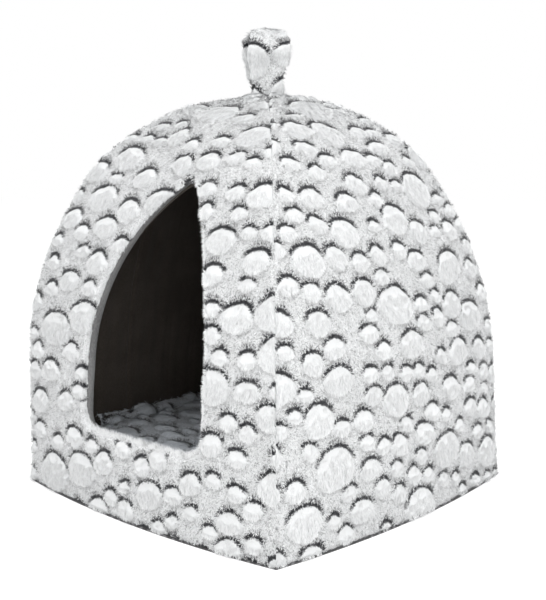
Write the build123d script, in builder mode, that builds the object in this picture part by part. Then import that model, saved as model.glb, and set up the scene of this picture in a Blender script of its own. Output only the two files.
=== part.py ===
from build123d import *
import os
from math import asin, cos, degrees, pi, radians, sin, sqrt, tan

os.makedirs("parts", exist_ok=True)

# A cat cave bed: a soft house on a square floor. Four arched panels lean in, bulge a little
# and meet along seams that run from the floor's corners up to one peak. Each panel is a
# sandwich of plush cover, foam and lining. The front panel has a pointed doorway with a
# grey facing, a loose cushion lies inside, and a fabric loop stands on the peak.
# Millimetres. The origin is the middle of the underside, +Z is up, the doorway faces -Y.

# Outer form, taken at the mean surface of the plush
side = 370.0  # floor edge from one corner seam to the next
height = 420.0  # floor to the peak, without the loop
bulge = 16.0  # how far a panel's middle stands out past its corner seams
wall_lean = 2.8  # degrees that the lower wall leans in
crown_radius = 153.0  # round of the roof over the peak
crown_sweep = 60.0  # degrees of that round on each side of the peak
shoulder_bands = 2  # a sheet bends one way only, so the round parts are narrow conical bands
crown_bands = 4

# Thickness of each layer, and the room that two layers leave each other
pile = 6.0  # plush cover, backing and pile together
wall_foam = 8.0
lining = 1.0
base_cloth = 1.5  # non-slip underside
base_foam_thickness = 12.0
fit = 0.3

# Doorway, in the front panel
door_width = 174.0
door_sill = 77.0  # height of its lower edge
door_spring = 145.0  # height where its upright sides start to curve
door_peak = 340.0  # height where the two curves would meet, before the tip is rounded
door_shift = 8.0  # its middle lies this far right of the panel's middle
door_lean = 22.0  # its tip leans this much further right
door_corner = 18.0  # radius of the sill's two corners
door_tip = 14.0  # radius of the tip
facing = 1.5  # grey strip round the edge of the doorway

# Loose cushion
cushion_thickness = 46.0
cushion_gap = 10.0  # room between its edge and the lining
cushion_corner = 42.0  # radius of its upright corners
cushion_edge = 16.0  # slope along its upper edge
cushion_cloth = 1.0  # underside

# Carry loop, a strap of plush bent into a ring
loop_rise = 68.0  # how far it stands above the peak
loop_depth = 38.0  # across the bent strap
loop_strap = 9.0  # strap thickness
loop_foot = 8.0  # radius of its rolled foot
loop_eye = 2.0  # radius at the lower end of its hole
loop_width = 51.0
loop_foot_width = 38.0
loop_round = 14.0  # radius of the upper corners of its broad face
loop_turn = -35.0  # degrees from +X to the direction that its broad face looks

# Mid-panel outline: a leaning line, a long shoulder arc and the crown arc, all tangent.
# Its two arcs meet at the bend, and the shoulder radius is the one that suits the line.
lean = radians(wall_lean)
crown = radians(crown_sweep)
shoulder = pi / 2 - lean
foot = side / 2 + bulge
crown_z = height - crown_radius
bend_x = crown_radius * sin(crown)
bend_z = crown_z + crown_radius * cos(crown)
line_drop = foot - bend_z * tan(lean) - bend_x
line_turn = sin(shoulder) - sin(crown) + tan(lean) * (cos(shoulder) - cos(crown))
shoulder_radius = line_drop / line_turn
shoulder_x = bend_x - shoulder_radius * sin(crown)
shoulder_z = bend_z - shoulder_radius * cos(crown)

# Each panel is that outline turned about an upright axis behind it, which bows it sideways
bow_radius = (side / 2) ** 2 / (2 * bulge) + bulge / 2
bow_x = foot - bow_radius
bow_sweep = degrees(asin(foot / bow_radius))
bow_axis = Axis((bow_x, 0, 0), (0, 0, 1))

# Layers, as depths below the plush surface, and heights of the floor's layers
foam_depth = pile + fit
lining_depth = foam_depth + wall_foam + fit
room_depth = lining_depth + lining
wall_z = base_cloth + fit
floor_lining_z = wall_z + base_foam_thickness + fit
room_z = floor_lining_z + lining + fit


def wall_x(depth, z):
    """Half-width of the lower wall at its middle, at a depth and a height."""
    return foot - z * tan(lean) - depth / cos(lean)


def arc_points(centre_x, centre_z, radius, start, end, bands):
    """Points round an arc, by their angle from upright, measured from the bow's axis."""
    angles = [start + (end - start) * band / bands for band in range(bands + 1)]
    return [(centre_x + radius * sin(a) - bow_x, centre_z + radius * cos(a)) for a in angles]


def wall_face(depth, foot_z):
    """Points of a wall face from its foot to the peak, measured from the bow's axis."""
    line_start = (wall_x(depth, foot_z) - bow_x, foot_z)
    round_shoulder = arc_points(shoulder_x, shoulder_z, shoulder_radius - depth,
                                shoulder, crown, shoulder_bands)
    round_crown = arc_points(0, crown_z, crown_radius - depth, crown, 0, crown_bands)
    return [line_start] + round_shoulder + round_crown[1:]


def wall_layer(outer_depth, inner_depth, foot_z, turn):
    """One layer of one panel, cut along the diagonals, turned to its side of the house."""
    start = radians(-bow_sweep)
    section = Plane(origin=(bow_x, 0, 0), x_dir=(cos(start), sin(start), 0),
                    z_dir=(sin(start), -cos(start), 0))
    seam = fit / sqrt(2)
    with BuildPart() as layer:
        with BuildSketch(section):
            with BuildLine():
                Polyline(*wall_face(outer_depth, foot_z),
                         *reversed(wall_face(inner_depth, foot_z)), close=True)
            make_face()
        revolve(axis=bow_axis, revolution_arc=2 * bow_sweep)
        with BuildSketch(Plane.XY):
            with BuildLine():
                Polyline((seam, 0), (side, side - seam), (side, seam - side), close=True)
            make_face()
        extrude(amount=height, mode=Mode.INTERSECT)
    return layer.part.rotate(Axis.Z, turn)


def bowed_square(depth, z):
    """Draws the plan of the lower wall at a depth and a height: a square with bowed edges."""
    radius = wall_x(depth, z) - bow_x
    corner = (bow_x + sqrt(2 * radius ** 2 - bow_x ** 2)) / 2
    for quarter in range(4):
        start = Vector(corner, -corner).rotate(Axis.Z, 90 * quarter)
        middle = Vector(radius + bow_x, 0).rotate(Axis.Z, 90 * quarter)
        end = Vector(corner, corner).rotate(Axis.Z, 90 * quarter)
        ThreePointArc(start, middle, end)


def floor_layer(depth, bottom_z, thickness):
    """A flat layer of the floor, cut to the walls at its narrower upper face."""
    with BuildPart() as layer:
        with BuildSketch(Plane.XY.offset(bottom_z)):
            with BuildLine():
                bowed_square(depth, bottom_z + thickness)
            make_face()
        extrude(amount=thickness)
    return layer.part


def doorway(growth):
    """The doorway's outline on the upright middle plane, grown outward by a clearance."""
    left = door_shift - door_width / 2
    right = door_shift + door_width / 2
    tip = (door_shift + door_lean, door_peak)
    with BuildSketch(Plane.XZ) as outline:
        with BuildLine():
            Polyline((left, door_spring), (left, door_sill), (right, door_sill),
                     (right, door_spring))
            TangentArc((left, door_spring), tip, tangent=(0, 1))
            TangentArc((right, door_spring), tip, tangent=(0, 1))
        make_face()
        fillet(outline.vertices().group_by(Axis.Y)[0], radius=door_corner)
        fillet(outline.vertices().sort_by(Axis.Y)[-1], radius=door_tip)
        if growth:
            offset(amount=growth)
    return outline.sketch


def keep(piece, name):
    """Names a finished piece and writes it to its own file."""
    piece.label = name
    export_step(piece, f"parts/{name}.step")


# Plush covers, foam and lining of the right, back and left panels
layers = {
    "cover": (0, pile, wall_z),
    "foam": (foam_depth, foam_depth + wall_foam, wall_z),
    "lining": (lining_depth, room_depth, room_z),
}
for panel, turn in {"right": 0, "back": 90, "left": 180}.items():
    for layer, (outer_depth, inner_depth, foot_z) in layers.items():
        with BuildPart() as wall:
            add(wall_layer(outer_depth, inner_depth, foot_z, turn))
        keep(wall.part, f"{panel}_{layer}")

# Front foam and front lining, cut out round the doorway and its facing
front_turn = -90
for layer in ("foam", "lining"):
    outer_depth, inner_depth, foot_z = layers[layer]
    with BuildPart() as front_wall:
        add(wall_layer(outer_depth, inner_depth, foot_z, front_turn))
        extrude(doorway(facing + fit), amount=side, mode=Mode.SUBTRACT)
    keep(front_wall.part, f"front_{layer}")

# Front cover, in two halves that meet in an upright seam below and above the doorway
for half, sign in {"left": -1, "right": 1}.items():
    with BuildPart() as front_cover:
        add(wall_layer(*layers["cover"], front_turn))
        extrude(doorway(facing + fit), amount=side, mode=Mode.SUBTRACT)
        with BuildSketch(Plane.XZ):
            with Locations((sign * (side + fit) / 2, height / 2)):
                Rectangle(side, height)
        extrude(amount=side, mode=Mode.INTERSECT)
    keep(front_cover.part, f"front_cover_{half}")

# Grey facing, a strip round the doorway as deep as the whole wall
with BuildPart() as doorway_facing:
    add(wall_layer(0, room_depth, wall_z, front_turn))
    extrude(doorway(facing), amount=side, mode=Mode.INTERSECT)
    extrude(doorway(0), amount=side, mode=Mode.SUBTRACT)
keep(doorway_facing.part, "doorway_facing")

# Floor: non-slip cloth under everything, then foam, then lining, inside the walls
with BuildPart() as base_cover:
    add(floor_layer(0, 0, base_cloth))
keep(base_cover.part, "base_cover")

with BuildPart() as base_foam:
    add(floor_layer(lining_depth, wall_z, base_foam_thickness))
keep(base_foam.part, "base_foam")

with BuildPart() as floor_lining:
    add(floor_layer(lining_depth, floor_lining_z, lining))
keep(floor_lining.part, "floor_lining")


def cushion_form(inset, bottom_z):
    """The cushion's pillow shape, drawn in by an inset above and all round."""
    with BuildPart() as form:
        with BuildSketch(Plane.XY.offset(bottom_z)) as plan:
            with BuildLine():
                bowed_square(room_depth + cushion_gap + inset, room_z)
            make_face()
            fillet(plan.vertices(), radius=cushion_corner - inset)
        extrude(amount=room_z + cushion_thickness - inset - bottom_z)
        chamfer(form.edges().group_by(Axis.Z)[-1], length=cushion_edge - inset / 2)
    return form.part


# Cushion: plush over the top and sides, a cloth underside and the filling
with BuildPart() as cushion_top:
    add(cushion_form(0, room_z))
    add(cushion_form(pile, room_z), mode=Mode.SUBTRACT)
keep(cushion_top.part, "cushion_top")

with BuildPart() as cushion_base:
    add(cushion_form(pile + fit, room_z))
    split(bisect_by=Plane.XY.offset(room_z + cushion_cloth), keep=Keep.BOTTOM)
keep(cushion_base.part, "cushion_base")

with BuildPart() as cushion_filling:
    add(cushion_form(pile + fit, room_z + cushion_cloth + fit))
keep(cushion_filling.part, "cushion_filling")

# Carry loop: a teardrop ring of strap that stands on its rolled foot, on the peak.
# It swings about the middle of that foot.
swing_z = height + fit + loop_foot
ring_z = loop_rise - fit - loop_foot - loop_depth / 2
look = radians(loop_turn)
loop_side = Plane(origin=(0, 0, swing_z), x_dir=(cos(look), sin(look), 0),
                  z_dir=(sin(look), -cos(look), 0))
loop_front = Plane(origin=(0, 0, swing_z), x_dir=(-sin(look), cos(look), 0),
                   z_dir=(cos(look), sin(look), 0))
with BuildPart() as carry_loop:
    with BuildSketch(loop_side) as ring:
        Circle(loop_foot)
        with Locations((0, ring_z)):
            Circle(loop_depth / 2)
        make_hull()
        with BuildSketch(mode=Mode.PRIVATE) as hole:
            with Locations((0, loop_strap + loop_eye - loop_foot)):
                Circle(loop_eye)
            with Locations((0, ring_z)):
                Circle(loop_depth / 2 - loop_strap)
            make_hull()
        add(hole.sketch, mode=Mode.SUBTRACT)
    extrude(amount=loop_width / 2, both=True)
    with BuildSketch(loop_front) as broad_face:
        with BuildLine():
            Polyline((-loop_foot_width / 2, -loop_foot), (loop_foot_width / 2, -loop_foot),
                     (loop_width / 2, ring_z), (loop_width / 2, ring_z + loop_depth / 2),
                     (-loop_width / 2, ring_z + loop_depth / 2), (-loop_width / 2, ring_z),
                     close=True)
        make_face()
        fillet(broad_face.vertices().group_by(Axis.Y)[-1], radius=loop_round)
    extrude(amount=loop_depth, both=True, mode=Mode.INTERSECT)
keep(carry_loop.part, "carry_loop")
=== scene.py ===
# %% [markdown]
# Cat cave bed, from its frame to its pile.
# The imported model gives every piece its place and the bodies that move. This lesson dresses it:
# four plush panels that meet at a peak, a pointed doorway with a grey facing, dark lining
# inside, a loose plush cushion and a loop of plush to carry it by.

# %% The frame
import math
import bpy
import numpy as np
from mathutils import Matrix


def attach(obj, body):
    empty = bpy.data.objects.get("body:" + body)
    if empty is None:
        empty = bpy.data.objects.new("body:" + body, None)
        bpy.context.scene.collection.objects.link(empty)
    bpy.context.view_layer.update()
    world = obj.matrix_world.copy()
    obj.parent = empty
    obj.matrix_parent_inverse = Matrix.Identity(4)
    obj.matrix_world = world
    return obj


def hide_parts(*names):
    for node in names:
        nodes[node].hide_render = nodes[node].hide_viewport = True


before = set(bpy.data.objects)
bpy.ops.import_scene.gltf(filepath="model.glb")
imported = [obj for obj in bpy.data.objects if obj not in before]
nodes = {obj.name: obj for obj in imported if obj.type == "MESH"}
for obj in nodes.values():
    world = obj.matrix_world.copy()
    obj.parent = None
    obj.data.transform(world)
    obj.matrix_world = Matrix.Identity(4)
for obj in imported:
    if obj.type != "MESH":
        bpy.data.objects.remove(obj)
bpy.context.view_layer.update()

bpy.ops.object.select_all(action="DESELECT")

# %% [markdown]
# The camera stands where the photographer stood: a little to the right of the front corner,
# just above the peak's middle height and looking slightly down. Its place was fitted to the
# three floor corners, the peak and the side outlines. A fixed sensor height keeps the same
# picture height whatever the picture's width.

# %% The camera
CAMERA_PLACE = (0.7620, -0.8106, 0.3596)
CAMERA_AZIMUTH = math.radians(42.87)
CAMERA_DOWN = math.radians(8.19)
LENS = 61.756
SENSOR = 36.0

bpy.ops.object.camera_add(location=CAMERA_PLACE,
                          rotation=(math.pi / 2 - CAMERA_DOWN, 0, CAMERA_AZIMUTH))
camera = bpy.context.object
camera.data.sensor_fit = "VERTICAL"
camera.data.sensor_height = SENSOR
camera.data.lens = LENS
camera.data.clip_start = 0.01
bpy.context.scene.camera = camera
print("camera", [round(v, 3) for v in camera.location])

# %% [markdown]
# Every wall is one plush panel that leans in, bends over a long shoulder and then over a round
# crown. The same outline, turned about an upright axis far behind it, gives the panel its
# sideways bow. A point of the panel is named by two lengths on the cloth: across from its
# middle, and up from its foot. So the pattern, the pile and the seams can all be laid out on
# the flat cloth and then carried to the bent wall.

# %% The outline that all four panels share
SIDE = 0.370
PEAK = 0.420
BULGE = 0.016
LEAN = math.radians(2.8)
CROWN_RADIUS = 0.153
CROWN = math.radians(60.0)
SHOULDER = math.pi / 2 - LEAN

foot = SIDE / 2 + BULGE
crown_z = PEAK - CROWN_RADIUS
bend_x = CROWN_RADIUS * math.sin(CROWN)
bend_z = crown_z + CROWN_RADIUS * math.cos(CROWN)
line_drop = foot - bend_z * math.tan(LEAN) - bend_x
line_turn = (math.sin(SHOULDER) - math.sin(CROWN)
             + math.tan(LEAN) * (math.cos(SHOULDER) - math.cos(CROWN)))
shoulder_radius = line_drop / line_turn
shoulder_x = bend_x - shoulder_radius * math.sin(CROWN)
shoulder_z = bend_z - shoulder_radius * math.cos(CROWN)
bow_radius = (SIDE / 2) ** 2 / (2 * BULGE) + BULGE / 2
bow_x = foot - bow_radius

line_length = (shoulder_z + shoulder_radius * math.sin(LEAN)) / math.cos(LEAN)
shoulder_length = shoulder_radius * (SHOULDER - CROWN)
cloth_height = line_length + shoulder_length + CROWN_RADIUS * CROWN
print("cloth from foot to peak", round(cloth_height, 4))


# %% From the flat cloth to the bent wall
def outline(t, depth=0.0):
    """The mid-panel outline at a cloth height: x, z and its normal's angle from upright."""
    t = np.asarray(t, float)
    on_shoulder = t - line_length
    on_crown = on_shoulder - shoulder_length
    angle = np.where(on_shoulder < 0, SHOULDER,
                     np.where(on_crown < 0, SHOULDER - on_shoulder / shoulder_radius,
                              CROWN - on_crown / CROWN_RADIUS))
    x = np.where(on_shoulder < 0, foot - t * math.sin(LEAN),
                 np.where(on_crown < 0, shoulder_x + shoulder_radius * np.sin(angle),
                          CROWN_RADIUS * np.sin(angle)))
    z = np.where(on_shoulder < 0, t * math.cos(LEAN),
                 np.where(on_crown < 0, shoulder_z + shoulder_radius * np.cos(angle),
                          crown_z + CROWN_RADIUS * np.cos(angle)))
    return x - depth * np.sin(angle), z - depth * np.cos(angle), angle


def half_width(t, depth=0.0):
    """Half the cloth's width at a height: from the panel's middle to its corner seam."""
    radius = outline(t, depth)[0] - bow_x
    corner = (bow_x + np.sqrt(np.maximum(2 * radius ** 2 - bow_x ** 2, 0))) / 2
    return radius * np.arcsin(np.clip(corner / radius, 0, 1))


def turned(vectors, turn):
    """Vectors of the right-hand panel, turned to another side of the house."""
    c, s = math.cos(turn), math.sin(turn)
    x, y, z = vectors[..., 0], vectors[..., 1], vectors[..., 2]
    return np.stack([c * x - s * y, s * x + c * y, z], -1)


def smooth(value, low, high):
    """0 below low, 1 above high and an even ramp between."""
    part = np.clip((value - low) / (high - low), 0, 1)
    return part * part * (3 - 2 * part)


TURNS = {"right": 0.0, "back": math.pi / 2, "left": math.pi, "front": -math.pi / 2}
CORNER_BLEND = 0.014
LEAN_REACH = 0.0105
LEAN_WAY = np.array((-0.728, -0.685, 0.0))
LEAN_BEGINS = (-0.03, 0.25)
LEAN_ENDS = (0.33, 0.41)
LEANING_PARTS = {"front": (-1, 0.45), "left": (1, -0.9)}


def leaning(s, t, z, side):
    """How far the plush stands out of true on the two panels that meet at the soft front left
    corner: most at that corner and above half-way up."""
    toward, start = LEANING_PARTS[side]
    share = smooth(toward * s / np.maximum(half_width(t), 1e-6), start, 1.0)
    rise = smooth(z, *LEAN_BEGINS) * (1 - smooth(z, *LEAN_ENDS))
    return LEAN_REACH * (share * rise)[..., None] * LEAN_WAY


def on_wall(s, t, side, lift=0.0, depth=0.0):
    """Points and outward directions on a wall. Lift moves them outward. Near a corner seam the
    direction swings into the diagonal, so that two panels' edges stay together. Only the
    plush, which has no depth, leans."""
    turn = TURNS[side]
    x, z, angle = outline(t, depth)
    radius = x - bow_x
    swing = s / radius
    up = np.cos(angle)
    out = np.sin(angle)
    normal = np.stack([out * np.cos(swing), out * np.sin(swing), up], -1)
    point = np.stack([bow_x + radius * np.cos(swing), radius * np.sin(swing), z], -1)
    hand = np.where(s < 0, -1.0, 1.0)
    along = (normal[..., 0] + hand * normal[..., 1]) / 2
    diagonal = np.stack([along, hand * along, normal[..., 2]], -1)
    inner = smooth(half_width(t, depth) - np.abs(s), 0, CORNER_BLEND)[..., None]
    push = normal * inner + diagonal * (1 - inner)
    point = turned(point + push * np.asarray(lift)[..., None], turn)
    if side in LEANING_PARTS and np.ndim(depth) == 0 and depth == 0:
        point = point + leaning(s, t, z, side)
    return point, turned(normal, turn)


print("panel half-width at foot and middle", half_width(np.array([0, cloth_height / 2])).round(4))

# %% [markdown]
# The plush is white with pebbles: oval patches of tall pile on a lower, greyer ground. Tall
# pile leans downward, so the dark roots open along the upper rim of each pebble. The pebbles
# are thrown on the flat cloth by a seeded rule, largest first, and a throw is kept if it lies
# clear of the others. Each panel has its own seed, and its pebbles run on past the seams,
# where the cut cloth ends in half pebbles as it does on the real bed.

# %% The pebbles of one panel
PEBBLE_SIZES = ((0.0225, 0.0265, 12), (0.0165, 0.0205, 42), (0.0125, 0.0160, 180),
                (0.0085, 0.0120, 2100))
PEBBLE_GAP = 0.0021
PEBBLE_ASPECT = 1.30
PEBBLE_ROUNDNESS = (0.9, 1.14)
PEBBLE_TILT = 0.16
PHASES = (0, 6.28)
WOBBLE_OF_THREE = 0.028
WOBBLE_OF_FOUR = 0.018


def throw_pebbles(seed, half, low, high, sizes=PEBBLE_SIZES):
    """Pebbles as rows of: across, up, half-width, half-height, tilt, two wobble phases, shade.
    Each of the sizes is a smallest and a largest half-width and a number of throws."""
    rng = np.random.default_rng(seed)
    kept = np.zeros((0, 8))
    for smallest, largest, throws in sizes:
        for _ in range(throws):
            reach = rng.uniform(smallest, largest)
            row = np.array([rng.uniform(-half, half), rng.uniform(low, high), reach,
                            reach / PEBBLE_ASPECT * rng.uniform(*PEBBLE_ROUNDNESS),
                            rng.normal(0, PEBBLE_TILT), rng.uniform(*PHASES),
                            rng.uniform(*PHASES), rng.uniform(0, 1)])
            away = kept[:, :2] - row[:2]
            angle = np.arctan2(away[:, 1] * PEBBLE_ASPECT, away[:, 0])
            mine = np.hypot(row[2] * np.cos(angle), row[3] * np.sin(angle))
            theirs = np.hypot(kept[:, 2] * np.cos(angle), kept[:, 3] * np.sin(angle))
            if np.all(np.hypot(away[:, 0], away[:, 1]) > mine + theirs + PEBBLE_GAP):
                kept = np.vstack([kept, row])
    return kept


def pebble_field(s, t, rows, reach=0.016):
    """For points on the cloth: distance to the nearest pebble's rim (negative inside), the
    direction away from that pebble's middle, and its shade."""
    distance = np.full(s.shape, reach)
    fan = np.zeros(s.shape + (2,))
    shade = np.full(s.shape, 0.5)
    for across, high, wide, tall, tilt, first, second, tone in rows:
        near = np.flatnonzero((np.abs(s - across).ravel() < wide + reach)
                              & (np.abs(t - high).ravel() < wide + reach))
        ds, dt = s.ravel()[near] - across, t.ravel()[near] - high
        x = ds * math.cos(tilt) + dt * math.sin(tilt)
        y = dt * math.cos(tilt) - ds * math.sin(tilt)
        away = np.hypot(x, y) + 1e-9
        angle = np.arctan2(y, x)
        rim = away / np.hypot(x / wide, y / tall)
        rim = rim * (1 + WOBBLE_OF_THREE * np.cos(3 * angle + first)
                     + WOBBLE_OF_FOUR * np.cos(4 * angle + second))
        closer = away - rim < distance.ravel()[near]
        where = near[closer]
        distance.ravel()[where] = (away - rim)[closer]
        fan.reshape(-1, 2)[where] = (np.stack([ds, dt], -1) / away[:, None])[closer]
        shade.ravel()[where] = tone
    return distance, fan, shade


SEEDS = {"front": 11, "right": 23, "back": 37, "left": 41}
PAST_SEAM = 0.012
PAST_PEAK = 0.02
pebbles = {side: throw_pebbles(seed, foot + PAST_SEAM, -PAST_SEAM, cloth_height + PAST_PEAK)
           for side, seed in SEEDS.items()}
print("pebbles", {side: len(rows) for side, rows in pebbles.items()})

# %% [markdown]
# The doorway is drawn as the pattern maker would: a low straight sill with round corners,
# short upright sides and two arcs that lean to a rounded tip right of the middle. It is a
# closed chain of points on the upright plane in front of the wall, spaced evenly.

# %% The doorway's outline
DOOR_WIDTH = 0.174
DOOR_SILL = 0.077
DOOR_SPRING = 0.145
DOOR_PEAK = 0.340
DOOR_SHIFT = 0.008
DOOR_LEAN = 0.022
DOOR_CORNER = 0.018
DOOR_TIP = 0.014
TIP_REACH = DOOR_TIP * 1.5

door_left = DOOR_SHIFT - DOOR_WIDTH / 2
door_right = DOOR_SHIFT + DOOR_WIDTH / 2
tip_x = DOOR_SHIFT + DOOR_LEAN


def straight(start, end, count=120):
    """A run of points between two places."""
    return np.linspace(start, end, count)


def corner_arc(centre_x, first, last, count=40):
    """The round at one end of the sill."""
    angles = np.radians(np.linspace(first, last, count))
    return np.stack([centre_x + DOOR_CORNER * np.cos(angles),
                     DOOR_SILL + DOOR_CORNER + DOOR_CORNER * np.sin(angles)], -1)


def side_arc(start_x, count=200):
    """An arc that leaves a side upright and stops short of the tip."""
    run, rise = tip_x - start_x, DOOR_PEAK - DOOR_SPRING
    radius = (run ** 2 + rise ** 2) / (2 * run)
    angles = np.linspace(0, math.asin(rise / abs(radius)), count)
    arc = np.stack([start_x + radius * (1 - np.cos(angles)),
                    DOOR_SPRING + abs(radius) * np.sin(angles)], -1)
    return arc[np.hypot(arc[:, 0] - tip_x, arc[:, 1] - DOOR_PEAK) > TIP_REACH]


def tip_round(enter, leave, count=30):
    """The rounded tip between the two arcs."""
    blend = np.linspace(0, 1, count)[:, None]
    pull = np.array([tip_x, DOOR_PEAK])
    return (1 - blend) ** 2 * enter + 2 * blend * (1 - blend) * pull + blend ** 2 * leave


def evenly(points, count):
    """Points at even steps along a chain."""
    steps = np.r_[0, np.cumsum(np.hypot(*np.diff(points, axis=0).T))]
    places = np.linspace(0, steps[-1], count)
    return np.stack([np.interp(places, steps, points[:, k]) for k in (0, 1)], -1)


left_arc, right_arc = side_arc(door_left), side_arc(door_right)[::-1]
door_chain = evenly(np.vstack([
    straight((0, DOOR_SILL), (door_left + DOOR_CORNER, DOOR_SILL)),
    corner_arc(door_left + DOOR_CORNER, -90, -180),
    straight((door_left, DOOR_SILL + DOOR_CORNER), (door_left, DOOR_SPRING)),
    left_arc, tip_round(left_arc[-1], right_arc[0]), right_arc,
    straight((door_right, DOOR_SPRING), (door_right, DOOR_SILL + DOOR_CORNER)),
    corner_arc(door_right - DOOR_CORNER, 0, -90),
    straight((door_right - DOOR_CORNER, DOOR_SILL), (0, DOOR_SILL)),
]), 721)
print("doorway", door_chain.min(0).round(4), door_chain.max(0).round(4))


# %% [markdown]
# The doorway is cut in bent cloth, so its outline is carried from the upright plane to the
# flat cloth. The plush reaches a little over the sill, where it is rolled in, and stops a
# little short on the right, where the grey facing shows most.

# %% The doorway on the cloth
door_run = np.gradient(door_chain, axis=0)
door_run[0] = door_run[-1] = (-1.0, 0.0)
door_outward = np.stack([-door_run[:, 1], door_run[:, 0]], -1) / np.hypot(*door_run.T)[:, None]


def door_border(growth, depth=0.0):
    """The doorway's outline, grown outward on the upright plane and laid on the cloth at a
    depth in the wall: across and up."""
    x, z = (door_chain + door_outward * np.reshape(growth, (-1, 1))).T
    heights = np.linspace(0, cloth_height, 2000)
    t = np.interp(z, outline(heights, float(np.mean(depth)))[1], heights)
    radius = outline(t, depth)[0] - bow_x
    return radius * np.arcsin(x / radius), t


PLUSH_OVERLAP = 0.0004
RIGHT_SETBACK = 0.0016
RIGHT_BLEND = (-0.02, 0.03)
SILL_OVERLAP = 0.0046
SILL_BLEND = (DOOR_SILL + 0.002, DOOR_SILL + 0.03)

sill = 1 - smooth(door_chain[:, 1], *SILL_BLEND)
right_side = smooth(door_chain[:, 0], *RIGHT_BLEND) * (1 - sill)
door_s, door_t = door_border(RIGHT_SETBACK * right_side - PLUSH_OVERLAP - SILL_OVERLAP * sill)
print("doorway on the cloth", door_s.min().round(4), door_s.max().round(4), door_t.max().round(4))

# %% [markdown]
# A surface of plush needs colour that knows where the pebbles are. Each skin therefore carries
# three numbers at every point: the distance to the nearest rim, how far up that rim it lies,
# and the pebble's own shade. The material turns them into white pebbles, mottled grey ground
# and ragged dark arcs, and breaks every border with noise, because pile has no clean edges.

# %% Helpers for materials
def new_finish(name, roughness, specular=0.5, sheen=0.0):
    """A material with its tree and its Principled shader."""
    material = bpy.data.materials.new(name)
    material.use_nodes = True
    shader = material.node_tree.nodes["Principled BSDF"]
    shader.inputs["Roughness"].default_value = roughness
    shader.inputs["Specular IOR Level"].default_value = specular
    shader.inputs["Sheen Weight"].default_value = sheen
    return material, material.node_tree, shader


def add_node(tree, kind, inputs=(), **settings):
    """A node whose sockets take either a value or a link from another node's output."""
    made = tree.nodes.new("ShaderNode" + kind)
    for key, value in settings.items():
        setattr(made, key, value)
    for socket, value in dict(inputs).items():
        if isinstance(value, bpy.types.NodeSocket):
            tree.links.new(value, made.inputs[socket])
        else:
            made.inputs[socket].default_value = value
    return made


def noise(tree, vector, scale, detail=2.0, roughness=0.5):
    """The grey value of a noise texture."""
    return add_node(tree, "TexNoise", {"Vector": vector, "Scale": scale, "Detail": detail,
                                       "Roughness": roughness}).outputs["Fac"]


def stretched(tree, vector, scale):
    """Coordinates scaled by another amount along each axis."""
    return add_node(tree, "Mapping", {"Vector": vector, "Scale": scale}).outputs["Vector"]


def ramp(tree, value, low, high, start=0.0, end=1.0):
    """A soft step from start to end as a value goes from low to high."""
    return add_node(tree, "MapRange", {"Value": value, "From Min": low, "From Max": high,
                                       "To Min": start, "To Max": end},
                    interpolation_type="SMOOTHSTEP").outputs["Result"]


def sums(tree, operation, first, second):
    """A Math node's result."""
    return add_node(tree, "Math", {0: first, 1: second}, operation=operation).outputs[0]


def blended(tree, factor, first, second, kind="MIX"):
    """A mix of two colours, each written as three numbers or linked."""
    first, second = (colour if isinstance(colour, bpy.types.NodeSocket) else (*colour, 1)
                     for colour in (first, second))
    return add_node(tree, "Mix", {"Factor": factor, 6: first, 7: second}, data_type="RGBA",
                    blend_type=kind).outputs[2]


def object_space(tree):
    """Coordinates that stay with the piece."""
    return add_node(tree, "TexCoord").outputs["Object"]


def own_number(tree, name):
    """A number that the mesh carries."""
    return add_node(tree, "Attribute", attribute_name=name).outputs["Fac"]


def bumped(tree, shader, height, distance, strength=1.0):
    """Small relief from a height value."""
    bump = add_node(tree, "Bump", {"Height": height, "Distance": distance,
                                   "Strength": strength})
    tree.links.new(bump.outputs["Normal"], shader.inputs["Normal"])


# %% The plush's skin
# The skin's pebble whites are darker than the pile's white hair: painted shade, standing in for the
# shade of the pile where the skin shows bare.
PEBBLE_WHITE = (0.75, 0.76, 0.765)
PEBBLE_COOL = (0.71, 0.72, 0.725)
GROUND_LIGHT = (0.84, 0.85, 0.855)
GROUND_DARK = (0.52, 0.525, 0.53)
ROOT_DARK = (0.035, 0.036, 0.040)
RAGGED = 5.0
PEBBLE_BORDER = (-0.4, 1.4)
ARC_INSIDE = (-2.2, -0.2)
ARC_OUTSIDE = (2.0, 4.2)
ARC_SIDES = (0.1, 0.55)


def plush_skin(name, tint_and_painted_shade):
    """Pebbles, ground and dark roots from the numbers that the skin carries. The borders are
    in millimetres from a pebble's rim, and so is the noise that makes them ragged."""
    material, tree, shader = new_finish(name, roughness=0.95, specular=0.1, sheen=0.25)
    cool, white, light, grey = (tuple(np.array(c) * tint_and_painted_shade) for c in (
        PEBBLE_COOL, PEBBLE_WHITE, GROUND_LIGHT, GROUND_DARK))
    place = object_space(tree)
    ragged = sums(tree, "SUBTRACT", noise(tree, place, 620), 0.5)
    ragged = sums(tree, "MULTIPLY", ragged, RAGGED)
    rim = sums(tree, "ADD", own_number(tree, "rim"), ragged)
    fine = noise(tree, place, 900, 3.0, 0.7)
    ground = blended(tree, ramp(tree, fine, 0.42, 0.58), grey, light)
    tone = blended(tree, own_number(tree, "shade"), cool, white)
    base = blended(tree, ramp(tree, rim, *PEBBLE_BORDER), tone, ground)
    arc = sums(tree, "MULTIPLY", ramp(tree, rim, *ARC_INSIDE), ramp(tree, rim, *ARC_OUTSIDE, 1, 0))
    arc = sums(tree, "MULTIPLY", arc, ramp(tree, own_number(tree, "upper"), *ARC_SIDES))
    tree.links.new(blended(tree, arc, base, ROOT_DARK), shader.inputs["Base Color"])
    bumped(tree, shader, fine, 0.0012)
    return material


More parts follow.
